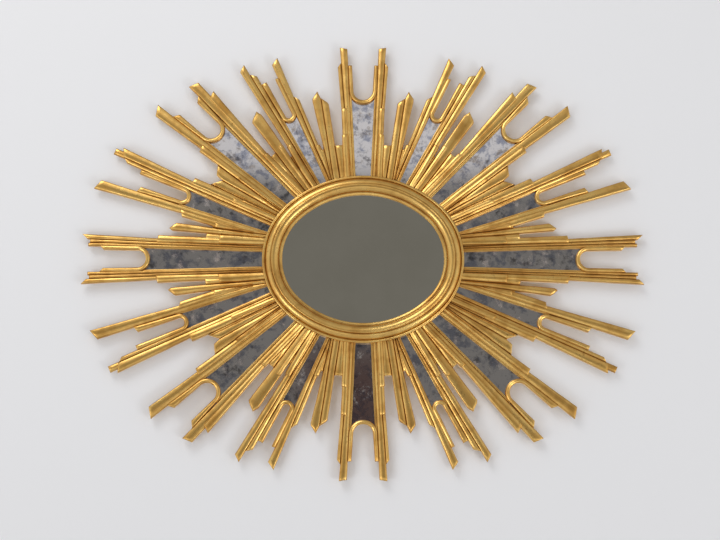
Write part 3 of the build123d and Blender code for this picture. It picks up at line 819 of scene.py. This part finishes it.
def birch_ply(name, finish):
    """Birch plywood, sanded and left bare: long grain on its faces and plies of 1.4 mm on its edges."""
    made, tree = start_material(name)
    here = add_node(tree, "ShaderNodeTexCoord")
    grain = noise(tree, scaled(tree, here.outputs["Object"], (10, 60, 260)), 1.0, 4.0, distortion=0.4)
    depth = add_node(tree, "ShaderNodeSeparateXYZ", {0: here.outputs["Object"]}).outputs["Y"]
    turns = times(tree, depth, 2 * math.pi / 0.0028)
    plies = add_node(tree, "ShaderNodeMath", {0: turns}, operation="SINE").outputs[0]
    facing = add_node(tree, "ShaderNodeSeparateXYZ", {0: here.outputs["Normal"]}).outputs["Y"]
    facing = add_node(tree, "ShaderNodeMath", {0: facing}, operation="ABSOLUTE").outputs[0]
    dark = times(tree, ranged(tree, facing, 0.6, 0.3), ranged(tree, plies, -0.3, 0.3))
    colour = blended(tree, ranged(tree, grain, 0.3, 0.75, 0.0, 0.7), tuple(finish.plywood), linear("a57c4e"))
    colour = blended(tree, times(tree, dark, 0.6), colour, linear("7f5a35"))
    bump = add_node(tree, "ShaderNodeBump", {"Height": grain, "Strength": 0.3, "Distance": 0.0003})
    surfaced(tree, colour, 0.0, 0.72, bump.outputs[0])
    return made


def plated_steel(name, finish):
    """Zinc-plated mild steel, rolled and pressed: pale grey with a cloudy spangle and dulled patches."""
    made, tree = start_material(name)
    here = add_node(tree, "ShaderNodeTexCoord").outputs["Object"]
    spangle = add_node(tree, "ShaderNodeTexVoronoi", {"Vector": here, "Scale": 700.0}).outputs["Distance"]
    dulled = noise(tree, here, 300.0, 4.0)
    colour = blended(tree, ranged(tree, spangle, 0.1, 0.7, 0.0, 0.4), tuple(finish.zinc), linear("8f8f88"))
    surfaced(tree, colour, 1.0, ranged(tree, dulled, 0.3, 0.7, 0.3, 0.5))
    return made


def dull_brass(name, finish):
    """Drawn brass wire, tarnished by handling: warm yellow, browner in patches of 3 mm."""
    made, tree = start_material(name)
    here = add_node(tree, "ShaderNodeTexCoord").outputs["Object"]
    tarnish = noise(tree, here, 320.0, 5.0)
    colour = blended(tree, ranged(tree, tarnish, 0.4, 0.7, 0.0, 0.7), tuple(finish.brass), linear("7c5f2e"))
    surfaced(tree, colour, 1.0, ranged(tree, tarnish, 0.3, 0.7, 0.28, 0.5))
    return made


def grey(level, cast=(1.0, 1.0, 1.0)):
    """A level of light with a slight cast, as a colour."""
    return tuple(level * part for part in cast) + (1.0,)


def start_tree(name, sockets):
    """A Geometry Nodes tree with a geometry input and output and the given named inputs."""
    tree = bpy.data.node_groups.new(name, "GeometryNodeTree")
    tree.interface.new_socket("Geometry", in_out="INPUT", socket_type="NodeSocketGeometry")
    tree.interface.new_socket("Geometry", in_out="OUTPUT", socket_type="NodeSocketGeometry")
    for label, kind in sockets.items():
        tree.interface.new_socket(label, in_out="INPUT", socket_type=kind)
    return tree, add_node(tree, "NodeGroupInput").outputs


def end_tree(tree, geometry, material):
    real = add_node(tree, "GeometryNodeRealizeInstances", {"Geometry": geometry}).outputs[0]
    done = add_node(tree, "GeometryNodeSetMaterial", {"Geometry": real, "Material": material}).outputs[0]
    add_node(tree, "NodeGroupOutput", {0: done})


def grown(name, mesh, tree, values):
    """The plain mesh that a tree makes of a mesh, with the tree's inputs set by their labels."""
    seed = bpy.data.objects.new(name + "_seed", mesh)
    bpy.context.scene.collection.objects.link(seed)
    modifier = seed.modifiers.new("Nodes", "NODES")
    modifier.node_group = tree
    for item in tree.interface.items_tree:
        if item.in_out == "INPUT" and item.name in values:
            modifier[item.identifier] = values[item.name]
    depsgraph = bpy.context.evaluated_depsgraph_get()
    made = bpy.data.meshes.new_from_object(seed.evaluated_get(depsgraph))
    bpy.data.objects.remove(seed)
    made.name = name
    return made


def arc_through(start, middle, end, count):
    """Points on the arc through three points, after the first."""
    a, b, c = (complex(*p) for p in (start, middle, end))
    w = (c - a) / (b - a)
    centre = a + (b - a) * (w - abs(w) ** 2) / (2j * w.imag)
    first = math.atan2((a - centre).imag, (a - centre).real)
    turn = [math.remainder(math.atan2((p - centre).imag, (p - centre).real) - first, 2 * math.pi) for p in (b, c)]
    if abs(turn[1]) < abs(turn[0]) or turn[0] * turn[1] < 0:
        turn[1] -= math.copysign(2 * math.pi, turn[1])
    radius = abs(a - centre)
    angles = [first + turn[1] * (i + 1) / count for i in range(count)]
    return [(centre.real + radius * math.cos(t), centre.imag + radius * math.sin(t)) for t in angles]


def moulding_profile(moulding):
    """The moulding's section as (x, height, crest), from its outer foot over the top to its rebate."""
    low, inner = moulding.seat, -moulding.width
    profile = [(0.0, low, 0.0)]

    def line(x, height, crest):
        profile.append((x, height, crest))

    def arc(middle, end, crest, count=8):
        start = profile[-1][:2]
        for x, height in arc_through(start, middle, end, count):
            profile.append((x, height, crest))

    line(0.0, low + 9.6, 0.2)
    arc((-2.5, low + 13.4), (-5.0, low + 10.6), 0.8)
    line(-5.8, low + 11.6, 0.1)
    arc((-9.8, low + 16.6), (-15.4, low + 18.4), 0.6, 10)
    line(-16.4, low + 17.6, 0.1)
    line(-17.0, low + 21.2, 0.3)
    arc((-18.7, low + 22.9), (-20.4, low + 21.4), 1.0)
    arc((-25.8, low + 20.0), (-30.2, low + 14.4), 0.6, 10)
    line(-31.4, low + 11.8, 0.0)
    line(-32.8, low + 11.8, 0.0)
    line(-33.2, low + 13.0, 0.8)
    line(inner + 1.2, low + 12.2, 0.8)
    line(inner, low + 10.8, 0.4)
    line(inner, moulding.glass_top, 0.0)
    line(inner + moulding.rebate, moulding.glass_top, 0.0)
    line(inner + moulding.rebate, low, 0.0)
    return profile


def moulding_path(moulding):
    """Points round the oval's outer edge, from its four arcs."""
    end_centre, flat_centre, flat_radius, turn = oval_arcs(moulding)
    path = []
    for x, y, radius, start, sweep in (
        (end_centre, 0, moulding.end_radius, -turn, 2 * turn),
        (0, -flat_centre, flat_radius, turn, math.pi - 2 * turn),
        (-end_centre, 0, moulding.end_radius, math.pi - turn, 2 * turn),
        (0, flat_centre, flat_radius, math.pi + turn, math.pi - 2 * turn),
    ):
        count = 120
        for i in range(count):
            angle = start + sweep * i / count
            path.append((x + radius * math.cos(angle), y + radius * math.sin(angle), 0.0))
    return path


class SUNBURST_OT_forks(bpy.types.Operator):
    """Carve the forks: reeded tines joined by a U-shaped bead"""

    bl_idname = "sunburst.forks"
    bl_label = "Carve the forks"

    def execute(self, context):
        scene = context.scene
        gilding = gilded_wood(GILDING, scene.sunburst_finish, False)
        seed = 1
        for kind, borders in fork_borders().items():
            if kind == "upright":
                copies = {"top": (1, 1), "bottom": (1, -1)}
            elif kind == "level":
                copies = {"right": (1, 1), "left": (-1, 1)}
            else:
                copies = {f"{kind}_{quarter}": sides for quarter, sides in QUARTERS.items()}
            for copy, sides in copies.items():
                carving = fork_carving(
                    FORKS[kind], borders, sides, seed, scene.sunburst_carving, scene.sunburst_moulding
                )
                mesh = carving.mesh(f"carved_fork_{copy}", scene.sunburst_carving.unevenness)
                place(mesh.name, mesh, gilding, [f"fork_{copy}"])
                seed += 1
        return {"FINISHED"}


class SUNBURST_OT_short_rays(bpy.types.Operator):
    """Carve the short rays between the forks"""

    bl_idname = "sunburst.short_rays"
    bl_label = "Carve the short rays"

    def execute(self, context):
        scene = context.scene
        gilding = bpy.data.materials[GILDING]
        seed = 101
        for kind, ray in RAYS.items():
            for quarter, sides in QUARTERS.items():
                carving = ray_carving(ray, sides, seed, scene.sunburst_carving, scene.sunburst_moulding)
                name = f"web_block_{quarter}" if kind == "web" else f"ray_{kind}_{quarter}"
                mesh = carving.mesh(f"carved_{name}", scene.sunburst_carving.unevenness)
                place(mesh.name, mesh, gilding, [name])
                seed += 1
        return {"FINISHED"}


class SUNBURST_OT_moulding(bpy.types.Operator):
    """Sweep the oval moulding round the glass"""

    bl_idname = "sunburst.moulding"
    bl_label = "Sweep the oval moulding"

    def execute(self, context):
        scene = context.scene
        gilding = gilded_wood("Gilded lime wood, turned and burnished", scene.sunburst_finish, True)
        profile = moulding_profile(scene.sunburst_moulding)[::-1]
        path = moulding_path(scene.sunburst_moulding)
        points = [tuple(c * MM for c in p) for p in path] + [(x * MM, -h * MM, 0.0) for x, h, _ in profile]
        edges = [(i, (i + 1) % len(path)) for i in range(len(path))]
        edges += [(len(path) + i, len(path) + (i + 1) % len(profile)) for i in range(len(profile))]
        mesh = bpy.data.meshes.new("moulding_lines")
        mesh.from_pydata(points, edges, [])
        rounds = np.cumsum([0.0] + [math.dist(profile[i][:2], profile[i + 1][:2]) for i in range(len(profile) - 1)])
        values = {
            "is_profile": ("BOOLEAN", [False] * len(path) + [True] * len(profile)),
            "crest": ("FLOAT", [0.0] * len(path) + [crest for _, _, crest in profile]),
            "round": ("FLOAT", [0.0] * len(path) + (rounds * MM).tolist()),
        }
        for name, (kind, numbers) in values.items():
            mesh.attributes.new(name, kind, "POINT").data.foreach_set("value", numbers)

        tree, given = start_tree("Moulding sweep", {"Steps": "NodeSocketInt", "Material": "NodeSocketMaterial"})
        chosen = add_node(
            tree, "GeometryNodeInputNamedAttribute", {"Name": "is_profile"}, data_type="BOOLEAN"
        ).outputs["Attribute"]
        parts = add_node(
            tree, "GeometryNodeSeparateGeometry", {"Geometry": given[0], "Selection": chosen}, domain="POINT"
        )
        section = add_node(tree, "GeometryNodeMeshToCurve", {0: parts.outputs["Selection"]}).outputs[0]
        oval = add_node(tree, "GeometryNodeMeshToCurve", {0: parts.outputs["Inverted"]}).outputs[0]
        oval = add_node(tree, "GeometryNodeResampleCurve", {"Curve": oval, "Count": given["Steps"]}).outputs[0]
        oval = add_node(tree, "GeometryNodeSetCurveNormal", {"Curve": oval}, mode="Z_UP").outputs[0]
        swept = add_node(tree, "GeometryNodeCurveToMesh", {"Curve": oval, "Profile Curve": section}).outputs[0]
        upright = add_node(
            tree, "GeometryNodeTransform", {"Geometry": swept, "Rotation": (math.pi / 2, 0, 0)}
        ).outputs[0]
        end_tree(tree, upright, given["Material"])
        swept_mesh = grown(
            "swept_moulding", mesh, tree, {"Steps": scene.sunburst_moulding.steps, "Material": gilding}
        )
        count = len(swept_mesh.vertices)
        rounds = np.empty(count)
        swept_mesh.attributes["round"].data.foreach_get("value", rounds)
        places = np.empty(3 * count)
        swept_mesh.vertices.foreach_get("co", places)
        places = places.reshape(-1, 3)
        grain = np.stack((rounds, places[:, 0], places[:, 2]), axis=-1)
        swept_mesh.attributes.new("grain", "FLOAT_VECTOR", "POINT").data.foreach_set("vector", grain.ravel())
        swept_mesh.shade_smooth()
        swept_mesh.set_sharp_from_angle(angle=math.radians(SMOOTH_EDGE))
        place("swept_moulding", swept_mesh, gilding, ["oval_moulding"])
        return {"FINISHED"}


class SUNBURST_OT_glass(bpy.types.Operator):
    """Silver the panes and the oval glass"""

    bl_idname = "sunburst.glass"
    bl_label = "Silver the glass"

    def execute(self, context):
        finish = context.scene.sunburst_finish
        foxed = foxed_glass("Silvered glass, foxed", finish)
        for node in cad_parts:
            if node.startswith("pane_") and node != "pane_slats":
                coat(node, foxed)
        coat("centre_mirror", aged_glass("Silvered glass, wiped", finish))
        return {"FINISHED"}


class SUNBURST_OT_board(bpy.types.Operator):
    """Finish the back board, the packing and the slats"""

    bl_idname = "sunburst.board"
    bl_label = "Finish the board"

    def execute(self, context):
        ply = birch_ply("Birch plywood, sanded", context.scene.sunburst_finish)
        for node in ("back_board", "centre_packing", "pane_slats"):
            coat(node, ply)
        return {"FINISHED"}


def screw_tree():
    """A tree that sets a cross-headed screw on each point, its head to the wall."""
    sizes = ("Face radius", "Neck radius", "Head height", "Shank radius", "Length", "Recess width", "Recess depth")
    sockets = {label: "NodeSocketFloat" for label in sizes}
    tree, given = start_tree("Screws on points", {**sockets, "Seed": "NodeSocketInt", "Material": "NodeSocketMaterial"})
    tip = times(tree, given["Shank radius"], 2.5)
    straight = calculated(tree, "SUBTRACT", given["Length"], tip)
    head = add_node(
        tree,
        "GeometryNodeMeshCone",
        {"Vertices": 32, "Radius Bottom": given["Face radius"], "Radius Top": given["Neck radius"],
         "Depth": given["Head height"]},
    ).outputs["Mesh"]
    shank = add_node(
        tree,
        "GeometryNodeMeshCone",
        {"Vertices": 24, "Radius Bottom": given["Shank radius"], "Radius Top": given["Shank radius"],
         "Depth": straight},
    ).outputs["Mesh"]
    point = add_node(
        tree,
        "GeometryNodeMeshCone",
        {"Vertices": 24, "Radius Bottom": given["Shank radius"], "Radius Top": 0.0001, "Depth": tip},
    ).outputs["Mesh"]
    start = times(tree, given["Head height"], 0.5)
    lifts = []
    for part, height in ((shank, start), (point, plus(tree, start, straight))):
        up = add_node(tree, "ShaderNodeCombineXYZ", {"Z": height}).outputs[0]
        lifts.append(add_node(tree, "GeometryNodeTransform", {"Geometry": part, "Translation": up}).outputs[0])
    joined = add_node(tree, "GeometryNodeMeshBoolean", {1: head}, operation="UNION")
    for part in lifts:
        tree.links.new(part, joined.inputs[1])
    long_side = times(tree, given["Face radius"], 1.2)
    deep = times(tree, given["Recess depth"], 2.0)
    recess = add_node(tree, "GeometryNodeMeshBoolean", {0: joined.outputs["Mesh"]}, operation="DIFFERENCE")
    for sides in ((long_side, given["Recess width"]), (given["Recess width"], long_side)):
        size = add_node(tree, "ShaderNodeCombineXYZ", {"X": sides[0], "Y": sides[1], "Z": deep}).outputs[0]
        tree.links.new(add_node(tree, "GeometryNodeMeshCube", {"Size": size}).outputs["Mesh"], recess.inputs[1])
    set_out = add_node(
        tree,
        "GeometryNodeInstanceOnPoints",
        {"Points": given[0], "Instance": recess.outputs["Mesh"], "Rotation": (math.pi / 2, 0, 0)},
    ).outputs[0]
    spin = add_node(tree, "FunctionNodeRandomValue", {2: 0.0, 3: math.pi, "Seed": given["Seed"]}, data_type="FLOAT")
    turn = add_node(tree, "ShaderNodeCombineXYZ", {"Z": spin.outputs[1]}).outputs[0]
    turned = add_node(tree, "GeometryNodeRotateInstances", {"Instances": set_out, "Rotation": turn}).outputs[0]
    end_tree(tree, turned, given["Material"])
    return tree


def set_screws(name, places, height, node, tree, sizes):
    """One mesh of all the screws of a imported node."""
    mesh = bpy.data.meshes.new(f"{name}_places")
    mesh.from_pydata([(x * MM, -height * MM, y * MM) for x, y in places], [], [])
    values = {label: size * MM for label, size in sizes.items()}
    steel = bpy.data.materials[STEEL]
    made = grown(name, mesh, tree, {**values, "Seed": 7, "Material": steel})
    made.shade_smooth()
    made.set_sharp_from_angle(angle=math.radians(SMOOTH_EDGE))
    place(name, made, steel, [node])


class SUNBURST_OT_fittings(bpy.types.Operator):
    """Finish the hangers"""

    bl_idname = "sunburst.fittings"
    bl_label = "Finish the hangers"

    def execute(self, context):
        finish = context.scene.sunburst_finish
        coat("hanger_straps", plated_steel(STEEL, finish))
        brass = dull_brass("Brass wire, tarnished", finish)
        for node in ("hanger_ring_left", "hanger_ring_right"):
            coat(node, brass)
        return {"FINISHED"}


class SUNBURST_OT_screws(bpy.types.Operator):
    """Set the screws of the board and of the hangers"""

    bl_idname = "sunburst.screws"
    bl_label = "Set the screws"

    def execute(self, context):
        screws = context.scene.sunburst_screws
        tree = screw_tree()
        clamps = set()
        for kind in ("upright", "level", "wide"):
            fork = FORKS[kind]
            x, y = Line(fork.inner, fork.outer, 1).at(-screws.clamp_tuck, 0)
            clamps |= {(sx * x + 0.0, sy * y + 0.0) for sx in (1, -1) for sy in (1, -1)}
        sizes = {
            "Face radius": screws.clamp_head,
            "Neck radius": screws.clamp_shank,
            "Head height": screws.clamp_head - screws.clamp_shank,
            "Shank radius": screws.clamp_shank * 0.98,
            "Length": screws.clamp_length - 1.0,
            "Recess width": CLAMP_RECESS[0],
            "Recess depth": CLAMP_RECESS[1],
        }
        set_screws("set_clamp_screws", sorted(clamps), 0.0, "clamp_screws", tree, sizes)
        line = ray_line(RAYS["middle"])
        places = [line.at(screws.hanger_distance - away, screws.hanger_offset) for away in STRAP_PLACES]
        places = [(side * x, y) for side in (1, -1) for x, y in places]
        sizes = {
            "Face radius": screws.strap_crown,
            "Neck radius": screws.strap_head,
            "Head height": screws.strap_rise,
            "Shank radius": screws.strap_shank * 0.98,
            "Length": screws.strap_length - screws.strap_rise,
            "Recess width": STRAP_RECESS[0],
            "Recess depth": STRAP_RECESS[1],
        }
        set_screws("set_strap_screws", places, screws.strap_face, "strap_screws", tree, sizes)
        return {"FINISHED"}


class SUNBURST_OT_stage(bpy.types.Operator):
    """Set up the wall, the floor, the light and the camera"""

    bl_idname = "sunburst.stage"
    bl_label = "Set up the stage"

    def execute(self, context):
        stage = context.scene.sunburst_stage
        paint, tree = start_material("Matt wall paint")
        painted = add_node(tree, "ShaderNodeBsdfDiffuse", {"Color": tuple(stage.wall)})
        clear = add_node(tree, "ShaderNodeBsdfTransparent")
        behind = add_node(tree, "ShaderNodeNewGeometry").outputs["Backfacing"]
        sides = {0: behind, 1: painted.outputs[0], 2: clear.outputs[0]}
        end_material(tree, add_node(tree, "ShaderNodeMixShader", sides))
        low, high = (WALL_AT, FLOOR_AT), (WALL_AT, WALL_TOP)
        near, far = (-REACH, FLOOR_AT), (REACH, FLOOR_AT)
        for name, first, second in (("stage_wall", low, high), ("stage_floor", near, far)):
            corners = [(-REACH, *first), (REACH, *first), (REACH, *second), (-REACH, *second)]
            mesh = bpy.data.meshes.new(name)
            mesh.from_pydata(corners, [], [(0, 1, 2, 3)])
            mesh.materials.append(paint)
            sheet = bpy.data.objects.new(name, mesh)
            context.scene.collection.objects.link(sheet)
            if name == "stage_wall":
                # light from behind reaches the back of the mirror, as if it were taken off the wall
                sheet.visible_diffuse = sheet.visible_glossy = sheet.visible_shadow = False

        world = bpy.data.worlds.new("Pale studio with a dark room in front")
        world.use_nodes = True
        world.node_tree.nodes.clear()
        tree = world.node_tree
        way = add_node(tree, "ShaderNodeTexCoord").outputs["Generated"]
        x, y, z = add_node(tree, "ShaderNodeSeparateXYZ", {0: way}).outputs
        wide = add_node(tree, "ShaderNodeMath", {0: x}, operation="ABSOLUTE").outputs[0]
        # from the ceiling to the floor, and the dark room in front: up to 13 degrees above the horizon, 11 below
        height = blended(tree, ranged(tree, z, 0.45, 0.36), grey(stage.ceiling), grey(stage.surround))
        height = blended(tree, ranged(tree, z, -0.16, -0.3), height, grey(stage.floor_glow))
        room = times(tree, ranged(tree, z, 0.235, 0.215), ranged(tree, z, -0.26, -0.16))
        room = times(tree, room, ranged(tree, wide, 0.5, 0.4))
        room = times(tree, room, ranged(tree, y, 0.0, -0.2))
        # a person in dark brown clothes stands in front, low and in the middle
        person = times(tree, ranged(tree, z, 0.125, 0.085), ranged(tree, wide, 0.045, 0.025))
        inside = blended(tree, person, grey(stage.room, (1.0, 0.97, 0.9)), grey(stage.room, (0.42, 0.27, 0.24)))
        colour = blended(tree, room, height, inside)
        seen = add_node(tree, "ShaderNodeLightPath").outputs["Is Camera Ray"]
        colour = blended(tree, seen, colour, tuple(stage.wall))
        light = add_node(tree, "ShaderNodeBackground", {"Color": colour, "Strength": 1.0})
        add_node(tree, "ShaderNodeOutputWorld", {"Surface": light.outputs[0]})
        context.scene.world = world

        for name, spot, size, power in LAMPS:
            lamp = bpy.data.lights.new(name, "AREA")
            lamp.size = size
            lamp.energy = power
            holder = bpy.data.objects.new(name, lamp)
            holder.location = spot
            holder.rotation_euler = (Vector((0, 0, 0)) - Vector(spot)).to_track_quat("-Z", "Y").to_euler()
            context.scene.collection.objects.link(holder)

        camera = bpy.data.cameras.new("photograph")
        camera.lens = stage.lens
        camera.sensor_width = 36.0
        holder = bpy.data.objects.new("photograph", camera)
        holder.location = stage.camera_place
        aim = Vector(stage.camera_aim) - Vector(stage.camera_place)
        holder.rotation_euler = aim.to_track_quat("-Z", "Y").to_euler()
        context.scene.collection.objects.link(holder)
        context.scene.camera = holder
        context.scene.view_settings.view_transform = "Standard"
        return {"FINISHED"}


OPERATORS = (
    SUNBURST_OT_forks,
    SUNBURST_OT_short_rays,
    SUNBURST_OT_moulding,
    SUNBURST_OT_glass,
    SUNBURST_OT_board,
    SUNBURST_OT_fittings,
    SUNBURST_OT_screws,
    SUNBURST_OT_stage,
)
SETTINGS = {
    "sunburst_carving": CarvingSettings,
    "sunburst_moulding": MouldingSettings,
    "sunburst_finish": FinishSettings,
    "sunburst_screws": ScrewSettings,
    "sunburst_stage": StageSettings,
}


class SUNBURST_PT_panel(bpy.types.Panel):
    """The sunburst mirror's pieces, in the order that they are made"""

    bl_idname = "SUNBURST_PT_panel"
    bl_label = "Sunburst mirror"
    bl_space_type = "VIEW_3D"
    bl_region_type = "UI"
    bl_category = "Sunburst"

    def draw(self, context):
        for operator in OPERATORS:
            self.layout.operator(operator.bl_idname)


def register():
    for kind in (*SETTINGS.values(), *OPERATORS, SUNBURST_PT_panel):
        bpy.utils.register_class(kind)
    for name, kind in SETTINGS.items():
        setattr(bpy.types.Scene, name, bpy.props.PointerProperty(type=kind))


def unregister():
    for name in SETTINGS:
        delattr(bpy.types.Scene, name)
    for kind in (SUNBURST_PT_panel, *OPERATORS[::-1], *SETTINGS.values()):
        bpy.utils.unregister_class(kind)


def main():
    register()
    for operator in OPERATORS:
        group, name = operator.bl_idname.split(".")
        getattr(getattr(bpy.ops, group), name)()


if __name__ == "__main__":
    main()
